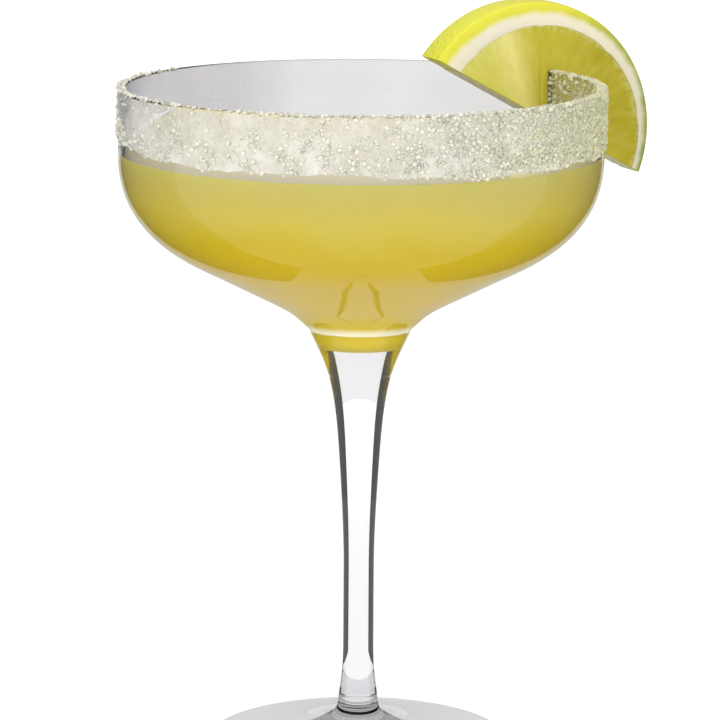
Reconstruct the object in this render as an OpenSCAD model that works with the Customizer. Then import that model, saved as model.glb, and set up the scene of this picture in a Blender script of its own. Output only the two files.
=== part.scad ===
// Margarita cocktail in a stemmed coupe glass with a salted rim and a half wheel of lime.
// Millimetres, +Z up. The origin is the centre of the foot's flat underside, and the glass's axis is Z.
// The lime hangs over the rim on the +X, +Y side.

/* [Glass bowl] */
// Outer diameter of the rim and of the straight side below it
rim_d = 105; // [80:1:130]
// Height of the bowl, from the top of the stem to the rim
bowl_depth = 53; // [40:0.5:75]
// Height of the straight side below the rim
side_h = 15; // [12:0.5:20]
// Thickness of the wall
wall = 1.3; // [0.9:0.1:2.2]
// Diameter at which the round shoulder runs out into the straight underside
under_d = 65; // [50:1:74]
// Height of that place above the top of the stem
under_h = 12.7; // [8:0.1:17]
// Slope of the underside from the level, in degrees
under_slope = 27; // [18:1:34]
// Diameter of the collar where the bowl meets the stem
collar_d = 22.4; // [18:0.2:28]
// Diameter of the well in the bowl's floor, at its mouth
well_d = 17.2; // [12:0.2:17.6]
// Depth of the well's flat bottom below the top of the stem
well_depth = 3.2; // [1:0.1:4]

/* [Stem and foot] */
// Length of the stem, from the foot's joint to the bowl
stem_len = 83.8; // [55:0.1:110]
// Diameter of the stem where it is thinnest
stem_d = 6.7; // [5:0.1:9]
// Diameter of the neck below the collar's flare
neck_d = 9.2; // [7:0.1:13]
// Length of the flare from the collar down to the neck
flare_len = 26; // [18:1:34]
// Length of the stretch from the neck down to the thinnest place
waist_len = 27; // [12:1:32]
// Diameter of the knuckle where the stem stands on the foot
knuckle_d = 8.9; // [7:0.1:12]
// Height of the knuckle above the table
foot_h = 9.6; // [6:0.1:12]
// Diameter of the foot
foot_d = 66; // [55:1:85]
// Thickness of the foot's rounded edge
foot_edge = 1.3; // [1:0.1:2]

/* [Drink] */
// Depth of the drink's surface below the rim
level_drop = 14.9; // [13:0.1:24]

/* [Salt crust] */
// Mean height of the band of salt
salt_band = 12.2; // [6:0.1:13]
// How much deeper the band reaches at the lime's side than at the other
salt_lean = 1.6; // [0:0.1:3]
// Mean thickness of the crust
salt_t = 0.75; // [0.4:0.05:1.2]
// Bare glass between the crust and the top of the rim
salt_top = 0.8; // [0.8:0.1:3]

/* [Lime] */
// Diameter of the lime
lime_d = 58.5; // [44:1:64]
// Thickness of the slice
lime_t = 9; // [5:0.5:12]
// Distance of the cut edge from the core, towards the rind
lime_cut = 3.8; // [0:0.1:6]
// Direction from the glass's axis to the place where the slice sits, in degrees from +X
lime_azimuth = 40.8; // [0:1:90]
// Direction of the slice's face, in degrees from +X
lime_turn = 24; // [10:1:70]
// How far the slice's outer end hangs down, in degrees
lime_tilt = 28.5; // [10:1:40]
// Depth of the slit that the rim goes into
slit_depth = 10.9; // [8:0.1:13]
// Distance along the cut edge from the core's side to the slit
slit_shift = 1.5; // [-6:0.5:8]
// Clearance between the slit and each face of the glass wall
slit_gap = 0.1; // [0.05:0.05:0.5]
// Clearance between the slice and the ends of the salt crust
salt_gap = 0.4; // [0.2:0.1:2]

/* [Hidden] */

$fn = 96;
STEPS = 22;               // points on each curve of the glass's outline
SALT_RAYS = 120;          // sections round the crust
OVER = 1;                 // how far a cutter runs past what it cuts
SHORTEST = 0.01;          // outline points nearer than this are one point

rim_r = rim_d / 2;
lip_r = wall / 2;
collar_z = foot_h + stem_len;
glass_h = collar_z + bowl_depth;
side_z = glass_h - side_h;
under_r = under_d / 2;
under_z = collar_z + under_h;
collar_r = collar_d / 2;
drink_z = glass_h - level_drop;
foot_r = foot_d / 2;
foot_edge_r = foot_edge / 2;

// Steepness of the outline, in degrees from the level, on each side of the collar
collar_slope_over = 40;
collar_slope_below = 67;
neck_lean = 86;
// Steepness of the well's side at its mouth, in degrees from the level, and the mouth's depth
well_slope = 62;
well_mouth = 0.5;
// Slope of the foot's top near its edge, in degrees, and the depth of the groove above it
foot_slope = 6;
groove = 0.2;
// Length of the stem's small flare above the groove
skirt_len = 14;
// Lengths of the tangents that set how full each curve is
shoulder_pull = [0.66 * (side_z - under_z), 0.33 * (rim_r - under_r)];
hollow_pull = [6, 3];
flare_pull = [0.29 * flare_len, 0.66 * flare_len];
well_pull = [6.5, 2];
floor_pull = [1.5, 9];
waist_pull = [0.3 * waist_len, 0.3 * waist_len];
skirt_pull = [0.5 * skirt_len, 0.4 * skirt_len];
foot_pull = [0.67 * foot_r, 0.37 * foot_h];

function along(angle) = [cos(angle), sin(angle)];

// Cubic curve from a to d with the control points b and c
function curve(a, b, c, d, n = STEPS) =
    [for (i = [0:n]) let (t = i / n, s = 1 - t)
        s*s*s * a + 3*s*s*t * b + 3*s*t*t * c + t*t*t * d];

function arc(centre, r, from, to, n = 8) =
    [for (i = [0:n]) let (a = from + (to - from) * i / n) centre + r * along(a)];

// Outline of the foot, from its edge on the table up to the groove under the stem
knuckle_r = knuckle_d / 2;
foot_tip = [foot_r - foot_edge_r, foot_edge_r];
foot_brow = foot_tip + foot_edge_r * along(90 - foot_slope);
foot_line = concat(
    arc(foot_tip, foot_edge_r, -90, 90 - foot_slope),
    curve(foot_brow, foot_brow + foot_pull[0] * along(180 - foot_slope),
          [knuckle_r + groove, foot_h - groove - foot_pull[1]], [knuckle_r, foot_h - groove], 16),
    [[knuckle_r - groove, foot_h]]
);

// Outline of the stem, from the knuckle up to the collar
stem_r = stem_d / 2;
stem_low = [stem_r, foot_h + skirt_len];
waist = [stem_r, collar_z - flare_len - waist_len];
neck = [neck_d / 2, collar_z - flare_len];
stem_line = concat(
    curve([knuckle_r, foot_h + groove], [stem_r + 0.1, foot_h + groove + skirt_pull[0]],
          stem_low - [0, skirt_pull[1]], stem_low, 10),
    curve(waist, waist + [0, waist_pull[0]], neck - waist_pull[1] * along(neck_lean), neck, 12),
    curve(neck, neck + flare_pull[1] * along(neck_lean),
          [collar_r, collar_z] - flare_pull[0] * along(collar_slope_below), [collar_r, collar_z])
);

// Where the straight underside passes a radius
under_dir = along(under_slope);
function under_at(r) = [r, under_z - (under_r - r) * tan(under_slope)];

// Outline of the bowl's outer face, from the collar up to the lip
hollow = under_at(0.6 * under_r);
bowl_line = concat(
    curve([collar_r, collar_z], [collar_r, collar_z] + hollow_pull[1] * along(collar_slope_over),
          hollow - hollow_pull[0] * under_dir, hollow, 12),
    curve([under_r, under_z], [under_r, under_z] + shoulder_pull[1] * under_dir,
          [rim_r, side_z - shoulder_pull[0]], [rim_r, side_z])
);

// Outline of the bowl's inner face, from the middle of the well up to the lip
well_bottom = [0, collar_z - well_depth];
well_lip = [well_d / 2, collar_z - well_mouth];
inner_shift = wall * along(under_slope + 90);
inner_hollow = under_at(0.65 * under_r) + inner_shift;
inner_line = concat(
    curve(well_bottom, well_bottom + [well_pull[0], 0],
          well_lip - well_pull[1] * along(well_slope), well_lip, 14),
    curve(well_lip, well_lip + floor_pull[0] * along(well_slope),
          inner_hollow - floor_pull[1] * under_dir, inner_hollow, 16),
    curve([under_r, under_z] + inner_shift, [under_r, under_z] + inner_shift + shoulder_pull[1] * under_dir,
          [rim_r - wall, side_z - shoulder_pull[0]], [rim_r - wall, side_z])
);
lip_line = arc([rim_r - lip_r, glass_h - lip_r], lip_r, 0, 180, 10);

function reversed(list) = [for (i = [len(list) - 1:-1:0]) list[i]];

function without_repeats(list) =
    [for (i = [0:len(list) - 1]) if (i == 0 || norm(list[i] - list[i - 1]) > SHORTEST) list[i]];

glass_outline = without_repeats(concat(
    [[0, 0]], foot_line, stem_line, bowl_line, lip_line, reversed(inner_line)));

// Radius of the inner face at the drink's surface
drink_r = lookup(drink_z, [for (p = concat(inner_line, [[rim_r - wall, glass_h]])) [p.y, p.x]]);
drink_outline = without_repeats(concat(
    [for (p = inner_line) if (p.y < drink_z - SHORTEST) p], [[drink_r, drink_z], [0, drink_z]]));

// The crust is thicker low down: [share of the band's height, share of the thickness]
CRUST_BULGE = [[0, 0.35], [0.12, 1], [0.5, 0.9], [0.93, 0.65], [1, 0.25]];
// Height of the waves in the crust's lower edge, and their share of its thickness
EDGE_WAVE = 0.7;
THICK_WAVE = 0.28;
// Direction in which the band reaches deepest, in degrees
DEEPEST = -25;
function ripple(a, few, many) = 0.6 * sin(few * a + 20) + 0.4 * sin(many * a + 75);
function band_at(a) = salt_band + salt_lean * cos(a - DEEPEST) / 2 + EDGE_WAVE * ripple(a, 5, 17);
function thick_at(a) = salt_t * (1 + THICK_WAVE * ripple(a + 40, 7, 23));
function crust_section(a) =
    let (t = thick_at(a), top = glass_h - salt_top, low = glass_h - band_at(a))
    concat([[rim_r - OVER, low]],
           [for (b = CRUST_BULGE) [rim_r + b[1] * t, low + b[0] * (top - low)]],
           [[rim_r - OVER, top]]);
crust_side = len(crust_section(0));
crust_points = [for (i = [0:SALT_RAYS - 1]) let (a = i * 360 / SALT_RAYS)
    for (p = crust_section(a)) [p.x * cos(a), p.x * sin(a), p.y]];
crust_faces = [for (i = [0:SALT_RAYS - 1]) for (j = [0:crust_side - 1])
    let (i2 = (i + 1) % SALT_RAYS, j2 = (j + 1) % crust_side)
    [i * crust_side + j, i * crust_side + j2, i2 * crust_side + j2, i2 * crust_side + j]];

// Where the top of the slit sits on the rim, and the slice's frame there
seat = [(rim_r - lip_r) * cos(lime_azimuth), (rim_r - lip_r) * sin(lime_azimuth), glass_h];

module in_lime_frame() {
    translate(seat - [0, 0, slit_depth])
        rotate([0, 0, lime_turn])
            rotate([0, lime_tilt, 0])
                translate([-slit_shift, 0, -lime_cut])
                    children();
}

// Half of a lime's middle slice, before the slit
module lime_half() {
    in_lime_frame()
        intersection() {
            sphere(d = lime_d, $fn = 128);
            translate([-lime_d, -lime_t / 2, lime_cut])
                cube([2 * lime_d, lime_t, lime_d]);
        }
}

// Everything that the rim's wall takes up, grown by a clearance
module rim_ring(gap) {
    translate([0, 0, glass_h - 2 * lime_d])
        difference() {
            cylinder(r = rim_r + gap, h = 2 * lime_d);
            translate([0, 0, -OVER])
                cylinder(r = rim_r - wall - gap, h = 2 * lime_d + 2 * OVER);
        }
}

module glass() {
    color([0.93, 0.95, 0.97, 0.35])
        rotate_extrude()
            polygon(glass_outline);
}

module drink() {
    color([0.85, 0.76, 0.3])
        difference() {
            rotate_extrude()
                polygon(drink_outline);
            lime_half();
        }
}

module salt_crust() {
    color([0.9, 0.9, 0.87])
        difference() {
            polyhedron(crust_points, crust_faces, convexity = 6);
            translate([0, 0, glass_h - 2 * bowl_depth])
                cylinder(r = rim_r, h = 2 * bowl_depth + OVER, $fn = 360);
            translate([seat.x, seat.y, glass_h - bowl_depth])
                rotate([0, 0, lime_turn])
                    translate([-lime_d / 2, -lime_t / 2 - salt_gap, 0])
                        cube([lime_d, lime_t + 2 * salt_gap, bowl_depth + OVER]);
        }
}

module lime_wheel() {
    color([0.78, 0.8, 0.3])
        difference() {
            lime_half();
            rim_ring(slit_gap);
        }
}

glass();
drink();
salt_crust();
lime_wheel();
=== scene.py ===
"""Margarita in a salted coupe glass with a half wheel of lime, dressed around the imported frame."""

import logging
import math
import random
from dataclasses import dataclass, field
from enum import Enum

import bmesh
import bpy
from bmesh.types import BMEdge, BMesh, BMVert
from bpy.types import ID, Material, Mesh, Node, NodeSocket, NodeTree, Object
from mathutils import Euler, Matrix, Vector, noise


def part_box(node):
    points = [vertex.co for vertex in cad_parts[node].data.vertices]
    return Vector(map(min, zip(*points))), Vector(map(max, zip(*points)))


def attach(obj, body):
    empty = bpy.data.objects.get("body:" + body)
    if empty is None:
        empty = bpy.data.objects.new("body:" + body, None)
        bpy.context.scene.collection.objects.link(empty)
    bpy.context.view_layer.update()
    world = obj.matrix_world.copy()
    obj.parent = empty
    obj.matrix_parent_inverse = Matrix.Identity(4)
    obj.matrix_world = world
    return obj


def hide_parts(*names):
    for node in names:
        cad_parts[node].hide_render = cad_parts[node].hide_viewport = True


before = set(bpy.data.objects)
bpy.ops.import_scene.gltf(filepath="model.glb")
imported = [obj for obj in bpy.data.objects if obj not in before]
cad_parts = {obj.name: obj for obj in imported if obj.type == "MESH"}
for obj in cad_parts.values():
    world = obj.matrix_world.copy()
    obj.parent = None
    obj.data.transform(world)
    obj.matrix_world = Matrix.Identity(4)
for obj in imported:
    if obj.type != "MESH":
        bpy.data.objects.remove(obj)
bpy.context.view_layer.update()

logging.basicConfig(level=logging.INFO, format="%(message)s")
log = logging.getLogger("margarita")

MM = 0.001
BODY = "root"
Line = list[Vector]
Sheet = list[tuple[float, float, float]]
Colour = tuple[float, float, float]


class Slot(Enum):
    """Names for the material slots."""

    GLASS = "clear_glass"
    DRINK = "cocktail"
    SALT = "salt"
    LIME = "lime"


def tint(red: int, green: int, blue: int) -> Colour:
    """Turns a display colour into a linear one.

    Args:
        red: Red from 0 to 255.
        green: Green from 0 to 255.
        blue: Blue from 0 to 255.

    Returns:
        The linear colour.
    """
    levels = (level / 255 for level in (red, green, blue))
    return tuple(c / 12.92 if c <= 0.04045 else ((c + 0.055) / 1.055) ** 2.4 for c in levels)


def along(angle: float, length: float = 1.0) -> Vector:
    """Gives a flat vector.

    Args:
        angle: Direction in degrees from the level.
        length: Length of the vector.

    Returns:
        The vector.
    """
    turn = math.radians(angle)
    return Vector((math.cos(turn), math.sin(turn))) * length


def curve(a: Vector, b: Vector, c: Vector, d: Vector, count: int) -> Line:
    """Samples a cubic curve.

    Args:
        a: First point.
        b: First control point.
        c: Second control point.
        d: Last point.
        count: Number of stretches.

    Returns:
        The points, both ends included.
    """
    line = []
    for step in range(count + 1):
        t = step / count
        s = 1 - t
        line.append(s**3 * a + 3 * s * s * t * b + 3 * s * t * t * c + t**3 * d)
    return line


def arc(centre: Vector, radius: float, start: float, end: float, count: int) -> Line:
    """Samples a circular arc.

    Args:
        centre: Centre of the arc.
        radius: Radius of the arc.
        start: First angle in degrees.
        end: Last angle in degrees.
        count: Number of stretches.

    Returns:
        The points, both ends included.
    """
    return [centre + along(start + (end - start) * i / count, radius) for i in range(count + 1)]


def spun(line: Line, steps: int) -> BMesh:
    """Turns an outline in millimetres round the vertical axis.

    Args:
        line: Points of radius and height.
        steps: Number of steps round the axis.

    Returns:
        The closed mesh in metres.
    """
    bm = bmesh.new()
    verts = [bm.verts.new((p.x * MM, 0, p.y * MM)) for p in line]
    edges = [bm.edges.new(pair) for pair in zip(verts, verts[1:])]
    bmesh.ops.spin(bm, geom=verts + edges, cent=(0, 0, 0), axis=(0, 0, 1), angle=math.tau,
                   steps=steps, use_merge=True)
    bmesh.ops.remove_doubles(bm, verts=bm.verts, dist=2e-6)
    bmesh.ops.recalc_face_normals(bm, faces=bm.faces)
    return bm


def mesh_of(name: str, bm: BMesh) -> Mesh:
    """Finishes a mesh.

    Args:
        name: Name of the mesh.
        bm: Mesh in the making, used up here.

    Returns:
        The finished mesh.
    """
    mesh = bpy.data.meshes.new(name)
    bm.to_mesh(mesh)
    bm.free()
    return mesh


def linked(name: str, data: ID) -> Object:
    """Makes an object and links it to the scene.

    Args:
        name: Name of the object.
        data: Mesh or camera of the object.

    Returns:
        The object.
    """
    obj = bpy.data.objects.new(name, data)
    bpy.context.scene.collection.objects.link(obj)
    return obj


def piece(name: str, bm: BMesh, materials: list[Material], stands_for: str,
          sharp: float = 180.0) -> Object:
    """Makes an object of a mesh and puts it on the frame.

    Args:
        name: Name of the piece.
        bm: Mesh of the piece, used up here.
        materials: Finishes of the piece.
        stands_for: CAD node that the piece replaces.
        sharp: Angle in degrees above which an edge stays sharp, 0 for flat faces.

    Returns:
        The object.
    """
    mesh = mesh_of(name, bm)
    for material in materials:
        mesh.materials.append(material)
    mesh.polygons.foreach_set("use_smooth", [sharp > 0] * len(mesh.polygons))
    if 0 < sharp < 180:
        mesh.set_sharp_from_angle(angle=math.radians(sharp))
    obj = linked(name, mesh)
    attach(obj, BODY)
    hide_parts(stands_for)
    triangles = sum(len(p.vertices) - 2 for p in mesh.polygons)
    log.info("%s: %d triangles", name, triangles)
    return obj


def cut_away(obj: Object, cutter: BMesh) -> None:
    """Cuts a closed mesh out of a piece.

    Args:
        obj: Piece to cut.
        cutter: Closed mesh, used up here.
    """
    mesh = mesh_of("cutter", cutter)
    tool = linked("cutter", mesh)
    cut = obj.modifiers.new("slit", "BOOLEAN")
    cut.operation = "DIFFERENCE"
    cut.solver = "EXACT"
    cut.object = tool
    ready = obj.evaluated_get(bpy.context.evaluated_depsgraph_get())
    fresh = bpy.data.meshes.new_from_object(ready)
    obj.modifiers.clear()
    old, obj.data = obj.data, fresh
    bpy.data.meshes.remove(old)
    bpy.data.objects.remove(tool)
    bpy.data.meshes.remove(mesh)


class Shader:
    """One material's node tree, built a node at a time."""

    def __init__(self, name: str) -> None:
        """Starts the material.

        Args:
            name: Name of the material.
        """
        self.material = bpy.data.materials.new(name)
        self.material.use_nodes = True
        self.nodes = self.material.node_tree.nodes
        self.links = self.material.node_tree.links
        self.bsdf = self.nodes["Principled BSDF"]

    def feed(self, socket: NodeSocket, value: object) -> None:
        """Links a socket or sets its value.

        Args:
            socket: Input to fill.
            value: Another node's output, a colour or a number.
        """
        if isinstance(value, NodeSocket):
            self.links.new(value, socket)
        elif socket.type == "RGBA" and len(value) == 3:
            socket.default_value = (*value, 1.0)
        else:
            socket.default_value = value

    def add(self, kind: str, inputs: dict, **settings: object) -> Node:
        """Adds a node.

        Args:
            kind: Type of the node, without its prefix.
            inputs: Values by the input's name or number.
            settings: Properties of the node.

        Returns:
            The node.
        """
        node = self.nodes.new("ShaderNode" + kind)
        for key, value in settings.items():
            setattr(node, key, value)
        for key, value in inputs.items():
            self.feed(node.inputs[key], value)
        return node

    def dress(self, inputs: dict) -> Material:
        """Fills the main shader's sockets.

        Args:
            inputs: Values by the socket's name.

        Returns:
            The finished material.
        """
        for key, value in inputs.items():
            self.feed(self.bsdf.inputs[key], value)
        return self.material

    def place(self) -> NodeSocket:
        """Gives the object's own coordinates."""
        return self.add("TexCoord", {}).outputs["Object"]

    def part(self, vector: NodeSocket, axis: str) -> NodeSocket:
        """Gives one coordinate of a vector."""
        return self.add("SeparateXYZ", {"Vector": vector}).outputs[axis]

    def math(self, operation: str, *values: object) -> NodeSocket:
        """Adds a sum, product or other function of one or two values."""
        return self.add("Math", dict(enumerate(values)), operation=operation).outputs[0]

    def spread(self, value: NodeSocket, low: float, high: float, to_low: float = 0.0,
               to_high: float = 1.0) -> NodeSocket:
        """Maps a range of values on another, held at its ends.

        Args:
            value: Value to map.
            low: Start of the range.
            high: End of the range.
            to_low: Result at the start.
            to_high: Result at the end.

        Returns:
            The mapped value.
        """
        inputs = {"Value": value, "From Min": low, "From Max": high, "To Min": to_low, "To Max": to_high}
        return self.add("MapRange", inputs).outputs["Result"]

    def noise(self, vector: NodeSocket, scale: float, detail: float = 3.0) -> NodeSocket:
        """Gives cloudy noise from 0 to 1."""
        inputs = {"Vector": vector, "Scale": scale, "Detail": detail}
        return self.add("TexNoise", inputs).outputs["Fac"]

    def cells(self, vector: NodeSocket, scale: float, **settings: object) -> NodeSocket:
        """Gives the distance to the nearest of scattered cell centres."""
        return self.add("TexVoronoi", {"Vector": vector, "Scale": scale}, **settings).outputs["Distance"]

    def ramp(self, value: NodeSocket, stops: dict[float, Colour]) -> NodeSocket:
        """Turns a value from 0 to 1 into a colour.

        Args:
            value: Value to turn.
            stops: Colour at each place.

        Returns:
            The colour.
        """
        node = self.add("ValToRGB", {"Fac": value})
        marks = node.color_ramp.elements
        while len(marks) < len(stops):
            marks.new(0.5)
        for mark, (position, colour) in zip(marks, sorted(stops.items())):
            mark.position = position
            mark.color = (*colour, 1.0)
        return node.outputs["Color"]

    def mix(self, share: object, first: object, second: object, way: str = "MIX") -> NodeSocket:
        """Mixes two colours.

        Args:
            share: Share of the second colour.
            first: First colour.
            second: Second colour.
            way: Blend type.

        Returns:
            The mixed colour.
        """
        inputs = {0: share, 6: first, 7: second}
        return self.add("Mix", inputs, data_type="RGBA", blend_type=way).outputs[2]

    def bump(self, height: NodeSocket, strength: float, distance: float) -> NodeSocket:
        """Turns a height into a shading normal."""
        inputs = {"Height": height, "Strength": strength, "Distance": distance}
        return self.add("Bump", inputs).outputs["Normal"]


@dataclass(frozen=True)
class ClearGlass:
    """Fire polished clear glass."""

    ior: float = 1.5
    colour: Colour = (0.98, 0.975, 1.0)

    def make(self) -> Material:
        """Makes the material."""
        shader = Shader("clear_glass")
        wave = shader.noise(shader.place(), 55.0, 1.0)
        return shader.dress({
            "Base Color": self.colour,
            "Roughness": 0.0,
            "IOR": self.ior,
            "Transmission Weight": 1.0,
            "Normal": shader.bump(wave, 0.04, 0.0006),
        })


@dataclass(frozen=True)
class HazyDrink:
    """Hazy golden liquid that lets light in a little way, with painted shading that changes its colour with
    height.

    A pale ring over the well stands for the light that the glass wall leads down to the collar.
    All heights are in metres.
    """

    floor: float
    level: float
    ring_z: float
    ring_full: float = 0.0004
    ring_fades: float = 0.0009
    ring_ends: float = 0.0024
    ring_glow: float = 0.3

    def make(self, top: bool) -> Material:
        """Makes the material.

        Args:
            top: Whether it is the open surface.

        Returns:
            The material.
        """
        shader = Shader("drink_top" if top else "drink_body")
        place = shader.place()
        up = shader.part(place, "Z")
        # Painted shading: the colour below changes with height, bright yellow low down, deeper through the
        # middle and paler near the level, standing in for the hazy liquid's shading.
        height = shader.spread(up, self.floor, self.level)
        # Painted highlight: a pale ring just over the collar, also made to glow, stands for light that the
        # glass wall leads down.
        ring_low = shader.spread(up, self.ring_z, self.ring_z + self.ring_full)
        ring_high = shader.spread(up, self.ring_z + self.ring_fades, self.ring_z + self.ring_ends, 1.0, 0.0)
        ring = shader.math("MULTIPLY", ring_low, ring_high)
        cloud = shader.noise(place, 38.0, 3.0)
        drift = shader.spread(cloud, 0.3, 0.7, -0.05, 0.05)
        # Painted shading by height; the cloudy drift is the drink's own uneven tone.
        colour = shader.ramp(shader.math("ADD", height, drift), {
            0.0: tint(244, 219, 66),
            0.22: tint(243, 216, 62),
            0.4: tint(235, 208, 44),
            0.58: tint(229, 207, 44),
            0.78: tint(230, 214, 94),
            1.0: tint(222, 212, 122),
        })
        # Painted reflection: the open surface is given a pale cream colour for the white surround it mirrors
        # at a grazing angle.
        if top:
            colour = shader.ramp(cloud, {0.3: tint(227, 216, 164), 0.7: tint(233, 224, 178)})
        else:
            # Painted highlight: the ring is mixed in near white.
            colour = shader.mix(ring, colour, tint(255, 251, 226))
        return shader.dress({
            "Base Color": colour,
            # Painted light: the ring is made to glow.
            "Emission Color": tint(255, 250, 224),
            "Emission Strength": 0.0 if top else shader.math("MULTIPLY", ring, self.ring_glow),
            "Roughness": 0.02 if top else 0.4,
            "IOR": 1.34,
            "Specular IOR Level": 0.5 if top else 0.05,
            "Subsurface Weight": 0.35,
            "Subsurface Radius": (1.0, 0.75, 0.25),
            "Subsurface Scale": 0.006,
        })


@dataclass(frozen=True)
class SaltFilm:
    """Damp salt dust that has dried milky on the glass."""

    rim: float
    low: float

    def make(self) -> Material:
        """Makes the material."""
        shader = Shader("salt_film")
        place = shader.place()
        depth = shader.spread(shader.part(place, "Z"), self.low, self.rim)
        patch = shader.noise(place, 160.0, 4.0)
        fine = shader.noise(place, 900.0, 2.0)
        body = shader.math("ADD", shader.math("MULTIPLY", patch, 0.7), shader.math("MULTIPLY", fine, 0.3))
        thick = shader.spread(body, 0.36, 0.62, 0.34, 0.66)
        fade = shader.spread(depth, 0.45, 1.0, 1.0, 0.6)
        back = shader.spread(shader.part(place, "Y"), -0.025, 0.005)
        veil = shader.spread(shader.noise(place, 35.0, 1.0), 0.35, 0.65, 0.16, 0.23)
        thicker_left = shader.spread(shader.part(place, "X"), -0.045, -0.015, 2.2, 1.0)
        haze = shader.math("MULTIPLY", veil, thicker_left)
        cover = shader.add("Mix", {0: back, 2: shader.math("MULTIPLY", thick, fade), 3: haze}).outputs[0]
        away_from_lime = shader.spread(shader.part(place, "X"), 0.015, 0.035, 1.0, 0.0)
        cool = shader.math("MULTIPLY", back, away_from_lime)
        shade = shader.ramp(body, {0.3: tint(204, 202, 194), 0.7: tint(228, 226, 218)})
        return shader.dress({
            "Base Color": shader.mix(cool, shade, tint(200, 199, 216)),
            "Roughness": 0.55,
            "Alpha": cover,
            "Normal": shader.bump(fine, 0.5, 0.0002),
        })


@dataclass(frozen=True)
class SaltCrystal:
    """Coarse damp salt, white and a little see-through."""

    name: str
    clear: float

    def make(self) -> Material:
        """Makes the material."""
        shader = Shader(self.name)
        place = shader.place()
        shade = shader.ramp(shader.noise(place, 1500.0, 1.0), {
            0.35: tint(204, 202, 184),
            0.65: tint(224, 222, 206),
        })
        # Painted colour cast: grains towards the lime side are tinted lime-yellow, the lime's colour painted
        # onto the white salt.
        lime_colour_cast = shader.spread(shader.part(place, "X"), 0.02, 0.05, 0.0, 0.7)
        return shader.dress({
            "Base Color": shader.mix(lime_colour_cast, shade, tint(204, 203, 148)),
            "Roughness": 0.5,
            "IOR": 1.4,
            "Transmission Weight": self.clear,
            "Subsurface Weight": 0.0 if self.clear else 0.6,
            "Subsurface Radius": (1.0, 1.0, 0.9),
            "Subsurface Scale": 0.0015,
        })


@dataclass(frozen=True)
class LimeFrame:
    """Place of the lime's core and the directions of its cut face."""

    rim_r: float
    height: float
    wall: float = 1.3
    azimuth: float = 40.8
    turn: float = 24.0
    tilt: float = 28.5
    slit_depth: float = 10.9
    slit_shift: float = 1.5
    cut: float = 3.8

    def matrix(self) -> Matrix:
        """Gives the transform from the slice's own frame, in metres."""
        seat = along(self.azimuth, self.rim_r - self.wall / 2)
        place = Matrix.Translation(Vector((seat.x, seat.y, self.height - self.slit_depth)) * MM)
        turn = Matrix.Rotation(math.radians(self.turn), 4, "Z")
        tilt = Matrix.Rotation(math.radians(self.tilt), 4, "Y")
        return place @ turn @ tilt @ Matrix.Translation(Vector((-self.slit_shift, 0, -self.cut)) * MM)

    def coordinates(self, shader: Shader) -> NodeSocket:
        """Gives the slice's own coordinates to a shader.

        Args:
            shader: Shader that needs them.

        Returns:
            The coordinates in metres from the core.
        """
        matrix = self.matrix()
        inputs = {"Vector": shader.place(), "Location": matrix.translation, "Rotation": matrix.to_euler()}
        return shader.add("Mapping", inputs, vector_type="TEXTURE").outputs["Vector"]

    def cut_shade(self, shader: Shader, rise: NodeSocket) -> NodeSocket:
        """Gives how much painted shade darkens the straight cut's own face, which lies in the shade of the
        glass.

        Args:
            shader: Shader that needs it.
            rise: Distance from the core towards the rind.

        Returns:
            The share, 0 away from the cut.
        """
        return shader.spread(rise, (self.cut + 0.02) * MM, (self.cut + 0.2) * MM, 0.75, 0.0)


@dataclass(frozen=True)
class LimeRind:
    """Oily skin that turns from yellow to green, over pale spongy pith, partly its own colour and partly
    painted light and shade, bright on the left and darker on the right.
    """

    seat: LimeFrame
    radius: float
    skin: float = 1.0

    def make(self, outside: bool) -> Material:
        """Makes the material.

        Args:
            outside: Whether it is the skin's own face or the cut through skin and pith.

        Returns:
            The material.
        """
        shader = Shader("lime_skin" if outside else "lime_pith")
        place = self.seat.coordinates(shader)
        across = shader.spread(shader.part(place, "X"), -0.026, 0.029)
        blotch = shader.spread(shader.noise(place, 90.0, 3.0), 0.3, 0.7, -0.12, 0.12)
        # Partly the lime's own colour and partly painted light and shade: the skin runs from bright yellow
        # on the left to darker green on the right.
        skin = shader.ramp(shader.math("ADD", across, blotch), {
            0.0: tint(222, 220, 62),
            0.35: tint(218, 214, 64),
            0.6: tint(184, 186, 66),
            1.0: tint(138, 152, 60),
        })
        if outside:
            pores = shader.cells(place, 900.0)
            dimple = shader.spread(pores, 0.0, 0.5)
            oil = shader.spread(dimple, 0.0, 0.3, 0.25, 0.0)
            return shader.dress({
                "Base Color": shader.mix(oil, skin, tint(150, 160, 40)),
                "Roughness": 0.36,
                "Subsurface Weight": 0.15,
                "Subsurface Scale": 0.002,
                "Normal": shader.bump(dimple, 0.6, 0.0003),
            })
        flat = shader.add("VectorMath", {0: place, 1: (1.0, 0.0, 1.0)}, operation="MULTIPLY").outputs[0]
        reach = shader.add("VectorMath", {0: flat}, operation="LENGTH").outputs["Value"]
        wobble = shader.spread(shader.noise(place, 350.0, 3.0), 0.3, 0.7, -0.0003, 0.0003)
        edge = shader.math("ADD", reach, wobble)
        deep = shader.spread(across, 0.1, 0.75, 2.0 * MM, 0.2 * MM)
        border = (self.radius - self.skin) * MM
        share = shader.spread(shader.math("ADD", edge, deep), border - 0.0007, border + 0.0006)
        # Painted shade: the pith is painted darker towards the right, following the skin.
        pith = shader.ramp(across, {
            0.0: tint(236, 230, 214),
            0.5: tint(234, 226, 198),
            1.0: tint(222, 216, 186),
        })
        fibre = shader.noise(place, 1400.0, 3.0)
        cut_shade = self.seat.cut_shade(shader, shader.part(place, "Z"))
        return shader.dress({
            # Painted shade: the straight cut's face is darkened to dark olive.
            "Base Color": shader.mix(cut_shade, shader.mix(share, pith, skin), tint(146, 142, 66)),
            "Roughness": 0.6,
            "Subsurface Weight": 0.4,
            "Subsurface Radius": (1.0, 0.8, 0.4),
            "Subsurface Scale": 0.003,
            "Normal": shader.bump(fibre, 0.35, 0.0002),
        })


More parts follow.
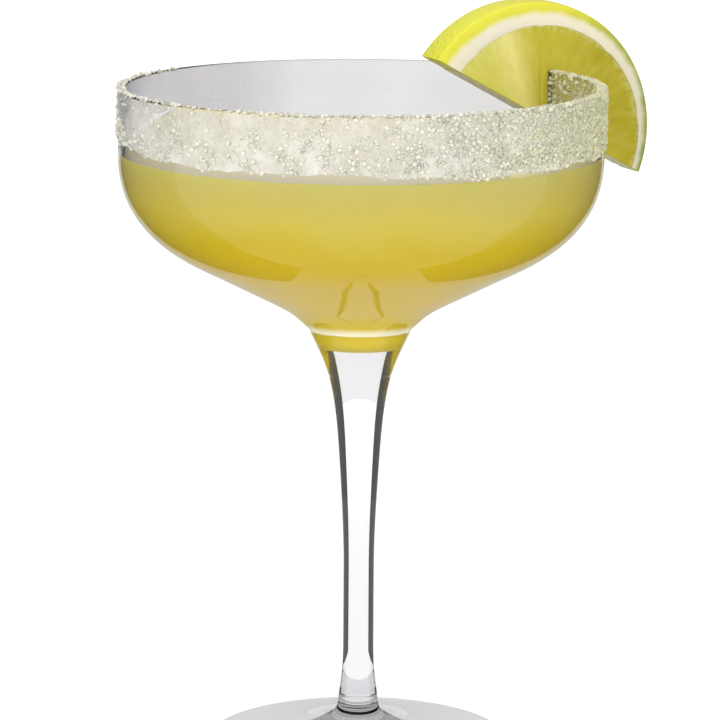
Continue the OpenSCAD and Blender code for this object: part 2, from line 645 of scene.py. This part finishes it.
@dataclass(frozen=True)
class LimeFlesh:
    """Juicy flesh whose sacs point at the core."""

    seat: LimeFrame
    core_x: float

    def make(self) -> Material:
        """Makes the material."""
        shader = Shader("lime_flesh")
        place = self.seat.coordinates(shader)
        side = shader.math("SUBTRACT", shader.part(place, "X"), self.core_x * MM)
        rise = shader.part(place, "Z")
        angle = shader.math("ARCTAN2", rise, side)
        side_square = shader.math("MULTIPLY", side, side)
        rise_square = shader.math("MULTIPLY", rise, rise)
        reach = shader.math("SQRT", shader.math("ADD", side_square, rise_square))
        polar = shader.add("CombineXYZ", {
            "X": shader.math("MULTIPLY", angle, 9.0),
            "Y": shader.math("MULTIPLY", reach, 170.0),
            "Z": shader.math("MULTIPLY", shader.part(place, "Y"), 100.0),
        }).outputs["Vector"]
        sacs = shader.cells(polar, 1.6, feature="SMOOTH_F1")
        fibres = shader.noise(polar, 3.0, 2.0)
        # Painted light and shade: the flesh is painted paler low near the cut and darker, deeper yellow
        # towards the top right of the slice.
        across = shader.spread(shader.math("ADD", side, rise), -0.010, 0.026)
        base = shader.ramp(across, {
            0.0: tint(216, 211, 108),
            0.22: tint(236, 227, 144),
            0.36: tint(205, 195, 80),
            0.5: tint(194, 182, 48),
            1.0: tint(174, 161, 26),
        })
        paler = shader.mix(shader.spread(sacs, 0.25, 0.75, 0.0, 0.16), base, tint(232, 224, 120))
        deeper = shader.mix(shader.spread(fibres, 0.3, 0.7, 0.16, 0.0), paler, tint(176, 164, 44))
        ragged = shader.math("ADD", reach, shader.spread(fibres, 0.3, 0.7, -0.0012, 0.0012))
        tips = shader.spread(ragged, 0.0236, 0.0252, 0.0, 0.35)
        cut_shade = self.seat.cut_shade(shader, rise)
        return shader.dress({
            # Painted shade: the straight cut's face is darkened to dark olive.
            "Base Color": shader.mix(cut_shade, shader.mix(tips, deeper, tint(236, 228, 160)),
                                     tint(132, 128, 44)),
            "Roughness": 0.22,
            "IOR": 1.36,
            "Subsurface Weight": 0.5,
            "Subsurface Radius": (1.0, 0.85, 0.3),
            "Subsurface Scale": 0.004,
            "Normal": shader.bump(sacs, 0.2, 0.0003),
        })


@dataclass(frozen=True)
class CoupeOutline:
    """Outline of the glass, in millimetres, on the lines of the frame's glass."""

    rim_r: float
    height: float
    wall: float = 1.3
    side_h: float = 15.0
    bowl_depth: float = 53.0
    under_r: float = 32.5
    under_h: float = 12.7
    under_slope: float = 27.0
    collar_r: float = 11.2
    well_r: float = 8.6
    well_depth: float = 3.2
    stem_r: float = 3.35
    neck_r: float = 4.6
    flare: float = 26.0
    waist: float = 27.0
    knuckle_r: float = 4.45
    foot_h: float = 9.6
    foot_r: float = 33.0
    foot_slope: float = 6.0
    foot_ring: float = 3.0
    hollow_h: float = 0.9
    edge_r: float = 0.65
    groove: float = 0.2
    skirt_h: float = 14.0
    neck_lean: float = 86.0
    flare_end: float = 67.0
    bowl_start: float = 40.0
    well_slope: float = 62.0
    well_mouth: float = 0.5

    @property
    def collar_z(self) -> float:
        """Height of the top of the stem."""
        return self.height - self.bowl_depth

    @property
    def shoulder(self) -> Vector:
        """Place where the straight underside turns into the shoulder."""
        return Vector((self.under_r, self.collar_z + self.under_h))

    def foot(self) -> Line:
        """Gives the hollow underside, the rounded edge and the foot's top up to the groove."""
        tip = Vector((self.foot_r - self.edge_r, self.edge_r))
        rest = Vector((self.foot_r - self.foot_ring, 0.0))
        hollow = Vector((0, self.hollow_h))
        under = curve(hollow, Vector((13, self.hollow_h)), rest - Vector((8, 0)), rest, 14)
        slope = self.foot_slope
        brow = tip + along(90 - slope, self.edge_r)
        top = Vector((self.knuckle_r, self.foot_h - self.groove))
        rise = curve(brow, brow + along(180 - slope, 0.67 * self.foot_r),
                     top - Vector((-self.groove, 0.37 * self.foot_h)), top, 22)
        return under + arc(tip, self.edge_r, -90, 90 - slope, 8) + rise

    def stem(self) -> Line:
        """Gives the stem from the groove up to the collar."""
        groove = Vector((self.knuckle_r - self.groove, self.foot_h))
        start = Vector((self.knuckle_r, self.foot_h + self.groove))
        skirt_top = Vector((self.stem_r, self.foot_h + self.skirt_h))
        waist = Vector((self.stem_r, self.collar_z - self.flare - self.waist))
        neck = Vector((self.neck_r, self.collar_z - self.flare))
        collar = Vector((self.collar_r, self.collar_z))
        skirt = curve(start, Vector((self.stem_r + 0.1, start.y + 7.0)), skirt_top - Vector((0, 5.6)),
                      skirt_top, 12)
        middle = [skirt_top.lerp(waist, t / 5) for t in range(1, 5)]
        pull = 0.3 * self.waist
        rise = curve(waist, waist + Vector((0, pull)), neck - along(self.neck_lean, pull), neck, 12)
        flare = curve(neck, neck + along(self.neck_lean, 0.66 * self.flare),
                      collar - along(self.flare_end, 0.29 * self.flare), collar, 26)
        return [groove] + skirt + middle + rise + flare

    def shoulder_curve(self, start: Vector, radius: float, count: int) -> Line:
        """Gives the round shoulder of either face.

        Args:
            start: First point.
            radius: Radius of the straight side that it runs into.
            count: Number of stretches.

        Returns:
            The points.
        """
        side_z = self.height - self.side_h
        reach = 0.66 * (side_z - self.shoulder.y)
        pull = along(self.under_slope, 0.33 * (self.rim_r - self.under_r))
        return curve(start, start + pull, Vector((radius, side_z - reach)), Vector((radius, side_z)), count)

    def under_at(self, share: float) -> Vector:
        """Gives the place on the straight underside at a share of the shoulder's radius."""
        drop = (1 - share) * self.under_r * math.tan(math.radians(self.under_slope))
        return Vector((share * self.under_r, self.shoulder.y - drop))

    def bowl(self) -> Line:
        """Gives the bowl's outer face from the collar up to the lip."""
        collar = Vector((self.collar_r, self.collar_z))
        hollow = self.under_at(0.6)
        low = curve(collar, collar + along(self.bowl_start, 3), hollow - along(self.under_slope, 6),
                    hollow, 18)
        return low + self.shoulder_curve(self.shoulder, self.rim_r, 36)

    def lip(self) -> Line:
        """Gives the round lip."""
        half = self.wall / 2
        return arc(Vector((self.rim_r - half, self.height - half)), half, 0, 180, 12)

    def inner(self) -> Line:
        """Gives the bowl's inner face from the middle of its well up to the straight side."""
        shift = along(self.under_slope + 90, self.wall)
        floor = Vector((0, self.collar_z - self.well_depth))
        mouth = Vector((self.well_r, self.collar_z - self.well_mouth))
        steep = self.well_slope
        hollow = self.under_at(0.65) + shift
        well = curve(floor, floor + Vector((6.5, 0)), mouth - along(steep, 2), mouth, 18)
        low = curve(mouth, mouth + along(steep, 1.5), hollow - along(self.under_slope, 9), hollow, 22)
        return well + low[1:] + self.shoulder_curve(self.shoulder + shift, self.rim_r - self.wall, 36)

    def whole(self) -> Line:
        """Gives the whole closed outline."""
        return self.foot() + self.stem() + self.bowl() + self.lip() + self.inner()[::-1]


@dataclass
class CoupeGlass:
    """The stemmed glass: foot, stem and bowl in one."""

    outline: CoupeOutline
    steps: int = 160

    def build(self) -> list[Object]:
        """Builds the glass."""
        bm = spun(self.outline.whole(), self.steps)
        return [piece("glass_coupe", bm, [ClearGlass().make()], "glass", sharp=50)]


@dataclass
class Drink:
    """The liquid, grown a hair into the wall so that no air shows."""

    outline: CoupeOutline
    level: float
    into_wall: float = 0.15
    meniscus_h: float = 0.8
    meniscus_w: float = 2.4
    meniscus_bend: float = 2.6
    # Height over the collar where the painted shading by height starts.
    shade_lift: float = 2.4
    ring_lift: float = 0.1
    steps: int = 160

    def build(self) -> list[Object]:
        """Builds the drink."""
        inner = self.outline.inner()
        side_r = self.outline.rim_r - self.outline.wall
        wet = [p for p in inner if p.y < self.level - 0.05]
        line = []
        for before, here, after in zip([wet[0]] + wet, wet, wet[1:] + [Vector((side_r, self.level))]):
            run = (after - before).normalized()
            line.append(here + Vector((run.y, -run.x)) * self.into_wall)
        line[0].x = 0.0
        edge_r = side_r + self.into_wall
        line.append(Vector((edge_r, self.level + self.meniscus_h)))
        for step in range(1, 9):
            t = step / 8
            rise = self.meniscus_h * (1 - t) ** self.meniscus_bend
            line.append(Vector((edge_r - self.meniscus_w * t, self.level + rise)))
        for share in (0.8, 0.6, 0.4, 0.2, 0.0):
            line.append(Vector(((edge_r - self.meniscus_w) * share, self.level)))
        bm = spun(line, self.steps)
        for face in bm.faces:
            open_top = face.calc_center_median().z > (self.level - 0.01) * MM and face.normal.z > 0.2
            face.material_index = 1 if open_top else 0
        collar = self.outline.collar_z
        finish = HazyDrink(floor=(collar + self.shade_lift) * MM, level=self.level * MM,
                           ring_z=(collar + self.ring_lift) * MM)
        materials = [finish.make(False), finish.make(True)]
        return [piece("drink_liquid", bm, materials, "drink", sharp=60)]


@dataclass(frozen=True)
class Strewing:
    """One kind of crystal: how many, their sizes in millimetres and how far they stand off."""

    name: str
    count: int
    low: float
    high: float
    lift: float


@dataclass
class SaltedRim:
    """Film, coarse grains and fine dust on the outside of the rim."""

    outline: CoupeOutline
    lime: LimeFrame
    band: float = 12.2
    grains: int = 11200
    dust: int = 15000
    on_lip: float = 0.06
    rarity: float = 2.8
    thickest: float = -28.0
    film_top: float = 0.5
    film_t: float = 0.1
    haze_drop: float = 2.8
    lime_half: float = 4.5
    under_cut: float = 1.2
    seed: int = 11
    chance: random.Random = field(init=False)

    def __post_init__(self) -> None:
        """Seeds the scatter."""
        self.chance = random.Random(self.seed)

    def right(self, azimuth: float) -> float:
        """Gives how near a direction is to the side where the salt lies thickest, 0 to 1."""
        return max(0.0, math.cos(math.radians(azimuth - self.thickest)))

    def behind(self, azimuth: float) -> float:
        """Gives how far behind the axis a direction points, 0 to 1."""
        return max(0.0, math.sin(math.radians(azimuth)))

    def depth(self, azimuth: float) -> float:
        """Gives how far the band reaches below the rim.

        Args:
            azimuth: Direction from the axis in degrees, with -90 at the front.

        Returns:
            The depth in millimetres.
        """
        turn = math.radians(azimuth)
        wave = 0.6 * math.sin(5 * turn + 0.35) + 0.4 * math.sin(17 * turn + 1.3)
        return self.band + 0.8 * math.cos(turn + 0.44) + 0.7 * wave

    def density(self, azimuth: float, depth: float, spot: Vector) -> float:
        """Gives how thickly the grains lie at a place.

        Args:
            azimuth: Direction from the axis in degrees.
            depth: Share of the band's depth, 0 at the rim.
            spot: The place, in millimetres.

        Returns:
            The density from 0 to 1.
        """
        clump = 0.35 + 1.3 * noise.noise(spot * 0.3) + 0.7 * noise.noise(spot * 0.9)
        right = self.right(azimuth)
        thick = 0.35 + 0.65 * right**1.5
        upper = depth**1.7 * (1 - right**3) + right**3
        lower = 1 - max(0.0, depth - 0.85) / 0.15 * 0.7
        clump = max(0.0, clump) * (1 - 0.5 * right**2) + 0.3 * right**2
        bare = self.behind(azimuth) > 0.1 and right < 0.35
        return 0.0 if bare else clump * thick * (0.12 + 0.88 * upper) * lower

    def near_lime(self, spot: Vector, size: float) -> bool:
        """Tells whether a grain would sit in the lime's slice.

        Args:
            spot: The place, in millimetres.
            size: Size of the grain in millimetres.

        Returns:
            Whether it is in the slice.
        """
        local = self.lime.matrix().inverted() @ (spot * MM)
        in_slice = abs(local.y) / MM < self.lime_half + size * 0.6
        return in_slice and local.z / MM > self.lime.cut - self.under_cut

    def templates(self, count: int, rounds: int) -> list[Mesh]:
        """Makes a few unlike crystals.

        Args:
            count: Number of crystals.
            rounds: Subdivision of the ball that they start from, 0 for a block.

        Returns:
            The crystals, about one unit across.
        """
        made = []
        for index in range(count):
            bm = bmesh.new()
            if rounds:
                bmesh.ops.create_icosphere(bm, subdivisions=rounds, radius=0.62)
            else:
                bmesh.ops.create_cube(bm, size=0.8)
            block = Vector([self.chance.uniform(0.26, 0.46) for _ in range(3)])
            for vert in bm.verts:
                vert.co = Vector([max(-b, min(b, c)) for c, b in zip(vert.co, block)])
                vert.co += Vector([self.chance.uniform(-0.07, 0.07) for _ in range(3)])
            bmesh.ops.recalc_face_normals(bm, faces=bm.faces)
            made.append(mesh_of(f"crystal_{index}", bm))
        return made

    def scatter(self, kind: Strewing, shapes: list[Mesh]) -> BMesh:
        """Strews crystals over the band.

        Args:
            kind: Number, sizes and lift of the crystals, the lift as a share of the size.
            shapes: Crystals to copy.

        Returns:
            The mesh of all crystals.
        """
        bm = bmesh.new()
        placed = 0
        while placed < kind.count:
            azimuth = self.chance.uniform(-180, 180)
            share = self.chance.random()
            size = kind.low + (kind.high - kind.low) * self.chance.random() ** self.rarity
            turn = Euler([self.chance.uniform(0, math.tau) for _ in range(3)]).to_matrix().to_4x4()
            inside = self.chance.random()
            depth = 0.25 + share * self.depth(azimuth)
            radius = self.outline.rim_r + size * kind.lift
            right = self.right(azimuth)
            if inside < (0.7 if azimuth > 0 else 0.14 * right):
                radius = self.outline.rim_r - self.outline.wall - size * kind.lift
            over_lip = inside > 1 - self.on_lip * (0.3 + right) and self.behind(azimuth) < 0.6
            if over_lip:
                radius = self.outline.rim_r - self.outline.wall * self.chance.random()
                depth = 0.1
            flat = along(azimuth, radius)
            spot = Vector((flat.x, flat.y, self.outline.height - depth))
            bare = not over_lip and self.chance.random() > self.density(azimuth, share, spot)
            if bare or self.near_lime(spot, size):
                continue
            shape = self.chance.choice(shapes)
            matrix = Matrix.Translation(spot * MM) @ turn @ Matrix.Scale(size * MM, 4)
            shape.transform(matrix)
            bm.from_mesh(shape)
            shape.transform(matrix.inverted())
            placed += 1
        return bm

    def film(self) -> BMesh:
        """Makes the thin shell of dried brine."""
        low = self.outline.height - self.band
        top = self.outline.height - self.film_top
        inner = [Vector((self.outline.rim_r + 0.012, low + (top - low) * t / 8)) for t in range(9)]
        outer = [p + Vector((self.film_t, 0)) for p in inner[::-1]]
        bm = spun(inner + outer + inner[:1], 240)
        for vert in bm.verts:
            azimuth = math.degrees(math.atan2(vert.co.y, vert.co.x))
            share = (top - vert.co.z / MM) / (self.band - self.film_top)
            haze = self.haze_drop * self.behind(azimuth) ** 0.5
            reach = self.depth(azimuth) + 0.5 * noise.noise(vert.co / MM * 0.5) + haze
            vert.co.z = (top - share * (reach - self.film_top)) * MM
        return bm

    def build(self) -> list[Object]:
        """Builds the salt."""
        coarse = self.templates(9, 1)
        small = self.templates(6, 0)
        brine = SaltFilm(rim=self.outline.height * MM, low=(self.outline.height - self.band) * MM)
        built = [piece("salt_film", self.film(), [brine.make()], "salt_crust", sharp=60)]
        white = Strewing("salt_grains_white", self.grains * 5 // 6, low=0.26, high=1.2, lift=0.1)
        clear = Strewing("salt_grains_clear", self.grains // 6, low=0.3, high=1.25, lift=0.12)
        fine = Strewing("salt_dust", self.dust, low=0.14, high=0.36, lift=0.3)
        for kind, shapes, finish in (
            (white, coarse, SaltCrystal("salt_white", clear=0.0)),
            (clear, coarse, SaltCrystal("salt_clear", clear=0.25)),
            (fine, small, SaltCrystal("salt_fine", clear=0.0)),
        ):
            crystals = self.scatter(kind, shapes)
            built.append(piece(kind.name, crystals, [finish.make()], "salt_crust", sharp=0))
        for mesh in coarse + small:
            bpy.data.meshes.remove(mesh)
        return built


@dataclass
class LimeHalfWheel:
    """Half of a thick middle slice of lime, slit onto the rim."""

    seat: LimeFrame
    outline: CoupeOutline
    radius: float = 29.25
    thick: float = 9.0
    flesh_r: float = 24.8
    core_x: float = 2.0
    segment: float = 41.0
    first_membrane: float = -45.5
    core_r: float = 1.2
    flesh_proud: float = 0.05
    flesh_bulge: float = 0.18
    flesh_waves: float = 0.08
    flesh_drop: float = 0.12
    slit_gap: float = 0.1
    slit_reach: float = 40.0

    def slit(self) -> BMesh:
        """Makes the ring that the glass wall takes up."""
        outer = self.outline.rim_r + self.slit_gap
        inner = self.outline.rim_r - self.outline.wall - self.slit_gap
        low, high = self.outline.height - self.slit_reach, self.outline.height + 0.02
        ring = [Vector(p) for p in ((inner, low), (outer, low), (outer, high), (inner, high), (inner, low))]
        return spun(ring, 240)

    def rind(self) -> BMesh:
        """Makes skin and pith as one solid half slice."""
        half = self.thick / 2
        edge_r = math.sqrt(self.radius**2 - half**2)
        round_r = 0.5
        reach = math.degrees(math.asin((half - round_r * 0.6) / self.radius))
        side = arc(Vector((0, 0)), self.radius, -reach, reach, 10)
        face = [Vector((edge_r * t / 6, -half)) for t in range(6)] + [Vector((edge_r - round_r, -half))]
        line = face + side + [Vector((p.x, -p.y)) for p in face[::-1]]
        bm = spun(line, 200)
        bmesh.ops.rotate(bm, verts=bm.verts, cent=(0, 0, 0), matrix=Matrix.Rotation(math.pi / 2, 3, "X"))
        self.halve(bm, self.seat.cut)
        for face in bm.faces:
            middle = face.calc_center_median()
            on_skin = middle.length > (self.radius - 0.25) * MM and abs(middle.y) < (half - 0.05) * MM
            face.material_index = 1 if on_skin else 0
        return bm

    def flesh(self) -> BMesh:
        """Makes the flesh as one solid, plump between shallow grooves where the membranes lie."""
        bm = bmesh.new()
        bmesh.ops.create_grid(bm, x_segments=200, y_segments=44, size=1.0)
        back = bmesh.ops.extrude_face_region(bm, geom=bm.faces[:])
        far = {v for v in back["geom"] if isinstance(v, BMVert)}
        for vert in bm.verts:
            outward = (vert.co.y + 1) / 2
            angle = 90 + 95 * vert.co.x
            middle = ((angle - self.first_membrane) / self.segment) % 1 * 2 - 1
            notch = 0.3 * abs(middle) ** 8 * outward**6
            reach = self.core_r + (self.flesh_r - self.core_r) * outward - notch
            plump = (1 - middle**12) * (1 - outward**16)
            swell = noise.noise(Vector((math.radians(angle) * 7, reach * 0.25, 3.0 if vert in far else 0.0)))
            bulge = plump * (self.flesh_bulge + self.flesh_waves * swell)
            half = self.thick / 2 + self.flesh_proud + bulge
            spoke = along(angle, reach)
            vert.co = Vector((self.core_x + spoke.x, half if vert in far else -half, spoke.y)) * MM
        bmesh.ops.recalc_face_normals(bm, faces=bm.faces)
        self.halve(bm, self.seat.cut - self.flesh_drop)
        return bm

    def halve(self, bm: BMesh, height: float) -> None:
        """Cuts a closed mesh off below a height and closes it again.

        Args:
            bm: Mesh in the slice's frame.
            height: Height of the cut in millimetres.
        """
        cut = bmesh.ops.bisect_plane(bm, geom=bm.verts[:] + bm.edges[:] + bm.faces[:], dist=1e-7,
                                     plane_co=(0, 0, height * MM), plane_no=(0, 0, -1), clear_outer=True)
        rim = [e for e in cut["geom_cut"] if isinstance(e, BMEdge)]
        bmesh.ops.contextual_create(bm, geom=rim)

    def build(self) -> list[Object]:
        """Builds the lime."""
        rind, flesh = self.rind(), self.flesh()
        for bm in (rind, flesh):
            bm.transform(self.seat.matrix())
        skin = LimeRind(self.seat, self.radius)
        built = [
            piece("lime_rind", rind, [skin.make(False), skin.make(True)], "lime_wheel", sharp=50),
            piece("lime_flesh", flesh, [LimeFlesh(self.seat, self.core_x).make()],
                  "lime_wheel", sharp=50),
        ]
        for obj in built:
            cut_away(obj, self.slit())
        return built


@dataclass(frozen=True)
class Levels:
    """Brightness of a surface as each kind of light path meets it, 1 for white."""

    seen: float
    through: float
    mirrored: float
    lighting: float

    def socket(self, tree: NodeTree) -> NodeSocket:
        """Adds the nodes that pick the brightness.

        Args:
            tree: Node tree of the floor or the surround.

        Returns:
            The brightness.
        """
        path = tree.nodes.new("ShaderNodeLightPath").outputs
        value = None
        for switch, level in ((path["Glossy Depth"], self.mirrored), (path["Diffuse Depth"], self.lighting),
                              (path["Is Camera Ray"], self.seen)):
            pick = tree.nodes.new("ShaderNodeMapRange")
            tree.links.new(switch, pick.inputs["Value"])
            pick.inputs["To Min"].default_value = self.through
            pick.inputs["To Max"].default_value = level
            if value:
                tree.links.new(value, pick.inputs["To Min"])
            value = pick.outputs["Result"]
        return value


@dataclass
class Studio:
    """Pale floor, bright surround, dark cards beside the object and the camera."""

    eye: Vector = field(default_factory=lambda: Vector((0, -0.850, 0.2476)))
    aim: Vector = field(default_factory=lambda: Vector((0, 0, 0.0863)))
    lens: float = 198.3
    roll: float = 0.355
    floor_reach: float = 5.0
    floor_z: float = -0.0002
    card_side: float = 0.16
    card_near: float = -0.02
    card_far: float = 0.28
    card_top: float = 0.34
    card_low: float = 0.0003
    card_level: float = 0.08
    card_start: float = 0.036
    surround: Levels = Levels(seen=1.0, through=0.92, mirrored=0.35, lighting=1.6)
    ground: Levels = Levels(seen=0.9, through=0.82, mirrored=0.36, lighting=1.3)

    def camera(self) -> Object:
        """Sets up the camera."""
        data = bpy.data.cameras.new("camera")
        data.lens = self.lens
        data.sensor_width = 36.0
        data.clip_start = 0.01
        data.dof.use_dof = False
        obj = linked("camera", data)
        look = (self.aim - self.eye).to_track_quat("-Z", "Y").to_matrix().to_4x4()
        roll = Matrix.Rotation(math.radians(self.roll), 4, "Z")
        obj.matrix_world = Matrix.Translation(self.eye) @ look @ roll
        bpy.context.scene.camera = obj
        return obj

    def panels(self, name: str, sheets: list[Sheet], material: Material) -> Object:
        """Makes flat stage panels.

        Args:
            name: Name of the object.
            sheets: Corners of each panel in metres.
            material: Material of the panels.

        Returns:
            The panels as one object.
        """
        bm = bmesh.new()
        for corners in sheets:
            bm.faces.new([bm.verts.new(corner) for corner in corners])
        mesh = mesh_of(name, bm)
        mesh.materials.append(material)
        obj = linked(name, mesh)
        return obj

    def floor(self) -> None:
        """Lays the pale floor, which keeps a faint contact shadow."""
        shader = Shader("floor")
        material = shader.dress({
            "Base Color": (0.2, 0.2, 0.2),
            "Roughness": 1.0,
            "Specular IOR Level": 0.0,
            "Emission Color": (1.0, 1.0, 1.0),
            "Emission Strength": self.ground.socket(shader.material.node_tree),
        })
        reach, low = self.floor_reach, self.floor_z
        corners = [(-reach, -reach, low), (reach, -reach, low), (reach, reach, low), (-reach, reach, low)]
        self.panels("floor", [corners], material)

    def cards(self, camera: Object) -> None:
        """Stands a dark card on each side and lays one at its foot, out of sight, turned to the camera.

        Args:
            camera: The camera.
        """
        material = Shader("grey_card").dress({
            "Base Color": (0.0, 0.0, 0.0),
            "Specular IOR Level": 0.0,
            "Emission Color": (1.0, 1.0, 1.0),
            "Emission Strength": self.card_level,
        })
        near, far, low, top = self.card_near, self.card_far, self.card_low, self.card_top
        side, start = self.card_side, self.card_start
        walls, wings = [], []
        for hand in (-1, 1):
            wall, inner = side * hand, start * hand
            walls.append([(wall, near, low), (wall, far, low), (wall, far, top), (wall, near, top)])
            wings.append([(inner, near * start / side, low), (wall, near, low), (wall, far, low),
                          (inner, far * start / side, low)])
        for name, sheets, shades in (("side_cards", walls, True), ("floor_cards", wings, False)):
            cards = self.panels(name, sheets, material)
            cards.visible_camera = False
            cards.visible_diffuse = shades
            cards.visible_shadow = shades
            turn = cards.constraints.new("LOCKED_TRACK")
            turn.target = camera
            turn.track_axis = "TRACK_NEGATIVE_Y"
            turn.lock_axis = "LOCK_Z"

    def world(self) -> None:
        """Sets the even white surround."""
        world = bpy.data.worlds.new("surround")
        bpy.context.scene.world = world
        world.use_nodes = True
        backdrop = world.node_tree.nodes["Background"]
        backdrop.inputs["Color"].default_value = (1.0, 1.0, 1.0, 1.0)
        world.node_tree.links.new(self.surround.socket(world.node_tree), backdrop.inputs["Strength"])

    def build(self) -> None:
        """Sets up everything round the object."""
        scene = bpy.context.scene
        scene.view_settings.view_transform = "Standard"
        scene.cycles.max_bounces = 20
        scene.cycles.transmission_bounces = 20
        scene.cycles.transparent_max_bounces = 24
        self.world()
        self.floor()
        self.cards(self.camera())


def main() -> None:
    """Builds the glass, the drink, the salt, the lime and the studio."""
    glass_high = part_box("glass")[1] / MM
    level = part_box("drink")[1].z / MM
    outline = CoupeOutline(rim_r=glass_high.x, height=glass_high.z)
    seat = LimeFrame(rim_r=glass_high.x, height=glass_high.z)
    for part in (CoupeGlass(outline), Drink(outline, level), LimeHalfWheel(seat, outline),
                 SaltedRim(outline, seat)):
        built = part.build()
        log.info("%s: %s", type(part).__name__, ", ".join(obj.name for obj in built))
    Studio().build()


if __name__ == "__main__":
    main()
